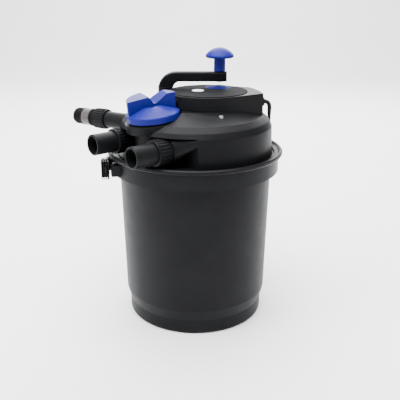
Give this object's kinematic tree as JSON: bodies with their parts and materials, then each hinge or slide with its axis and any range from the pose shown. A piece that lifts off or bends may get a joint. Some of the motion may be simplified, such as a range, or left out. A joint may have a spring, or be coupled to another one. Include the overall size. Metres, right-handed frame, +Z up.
{
  "type": "pressurised pond filter",
  "caption": "Pressurised pond filter: clamped bucket with a foam carousel, hose tails, selector knob, UV clarifier on the lid and a hand cleaning crank.",
  "frame": {"origin": "centre of the bucket's flat base, on the surface it stands on", "axes": "+Z up along the bucket's axis; the hose tails point towards -X and -Y, the power cord leaves on the +X side"},
  "size_m": [0.4047, 0.4905, 0.5095],
  "materials": {
    "black_shell": "satin",
    "black_trim": "satin",
    "black_disc": "semi-gloss",
    "blue_plastic": "semi-gloss",
    "grey_plastic": "satin",
    "white_lens": "gloss",
    "foam": "open-cell foam",
    "steel": "brushed",
    "seal_rubber": "matte",
    "cord_rubber": "matte",
    "clear_tube": "clear plastic",
    "quartz": "clear",
    "lamp_ceramic": "matte"
  },
  "bodies": {
    "bucket": {"bucket": "black_shell", "carousel_pivot_pin": "black_shell", "cord_coil": "cord_rubber", "coil_tie": "cord_rubber", "power_plug": "cord_rubber"},
    "carousel": {"carousel_base_plate": "grey_plastic", "carousel_core": "grey_plastic", "foam_ring_1": "foam", "foam_ring_2": "foam", "foam_ring_3": "foam", "foam_ring_4": "foam", "foam_ring_5": "foam", "carousel_ring_gear": "grey_plastic", "carousel_tie_rods": "steel", "carousel_rod_nuts": "steel"},
    "lid": {"lid_shell": "black_shell", "lid_seal": "seal_rubber", "clamp_band": "black_trim", "latch_lever_pin": "steel", "hose_tail_1": "black_shell", "hose_tail_2": "black_shell", "waste_tail": "black_shell", "sight_glass": "clear_tube", "port_seals": "seal_rubber", "valve_cover": "black_shell", "crank_bush": "grey_plastic", "ballast_housing": "black_shell", "housing_disc": "black_disc", "indicator_lens": "white_lens", "lamp_cap": "blue_plastic", "ballast_module": "grey_plastic", "housing_screws": "steel", "cable_gland": "black_trim", "gland_nut": "black_trim", "strain_relief": "cord_rubber", "power_cord": "cord_rubber", "quartz_sleeve": "quartz", "sleeve_seal": "seal_rubber", "sleeve_nut": "black_trim", "lamp_tubes": "quartz", "lamp_base": "lamp_ceramic", "lamp_socket": "grey_plastic"},
    "latch_lever": {"latch_lever": "black_trim", "latch_link_pin": "steel"},
    "latch_link": {"latch_link": "steel"},
    "port_nut_1": {"port_nut_1": "black_trim"},
    "port_nut_2": {"port_nut_2": "black_trim"},
    "waste_nut": {"waste_nut": "black_trim"},
    "valve": {"valve_rotor": "grey_plastic", "valve_spindle_seal": "seal_rubber", "valve_knob": "blue_plastic", "valve_knob_screw": "steel"},
    "crank": {"crank_arm": "black_trim", "crank_shaft": "steel", "shaft_circlip": "steel", "crank_pinion": "grey_plastic", "grip_spindle": "steel"},
    "grip": {"grip_sleeve": "blue_plastic", "grip_cap": "blue_plastic"}
  },
  "joints": [
    {"name": "lid_lift", "type": "slide", "parent": "bucket", "child": "lid", "axis": [0, 0, 1], "range_m": [0, 0.26]},
    {"name": "carousel_spin", "type": "hinge", "parent": "bucket", "child": "carousel", "pos_m": [0, 0, 0.06], "axis": [0, 0, 1], "continuous": true},
    {"name": "crank_spin", "type": "hinge", "parent": "lid", "child": "crank", "pos_m": [-0.05674, 0.04513, 0.43], "axis": [0, 0, 1], "continuous": true},
    {"name": "grip_spin", "type": "hinge", "parent": "crank", "child": "grip", "pos_m": [0.04626, 0.04513, 0.48], "axis": [0, 0, 1], "continuous": true},
    {"name": "valve_turn", "type": "hinge", "parent": "lid", "child": "valve", "pos_m": [-0.073, -0.0695, 0.3945], "axis": [-0.0947, -0.0442, 0.9945], "range_deg": [0, 90]},
    {"name": "latch_lever_swing", "type": "hinge", "parent": "lid", "child": "latch_lever", "pos_m": [-0.16921, -0.03186, 0.3035], "axis": [0, 0, -1], "range_deg": [0, 110]},
    {"name": "latch_link_swing", "type": "hinge", "parent": "latch_lever", "child": "latch_link", "pos_m": [-0.16259, -0.04305, 0.3035], "axis": [0, 0, -1], "range_deg": [-110, 0]},
    {"name": "port_nut_1_turn", "type": "hinge", "parent": "lid", "child": "port_nut_1", "pos_m": [-0.0594, -0.12982, 0.3515], "axis": [-0.7547, -0.6561, 0], "range_deg": [0, 900]},
    {"name": "port_nut_2_turn", "type": "hinge", "parent": "lid", "child": "port_nut_2", "pos_m": [-0.13682, -0.04076, 0.3515], "axis": [-0.7547, -0.6561, 0], "range_deg": [0, 900]},
    {"name": "waste_nut_turn", "type": "hinge", "parent": "lid", "child": "waste_nut", "pos_m": [-0.1761, 0.02753, 0.377], "axis": [-0.8499, 0.527, 0], "range_deg": [0, 900]}
  ],
  "couplings": [
    {"joint": "crank_spin", "follows": "carousel_spin", "ratio": 5.1429},
    {"joint": "latch_link_swing", "follows": "latch_lever_swing", "ratio": -1}
  ]
}
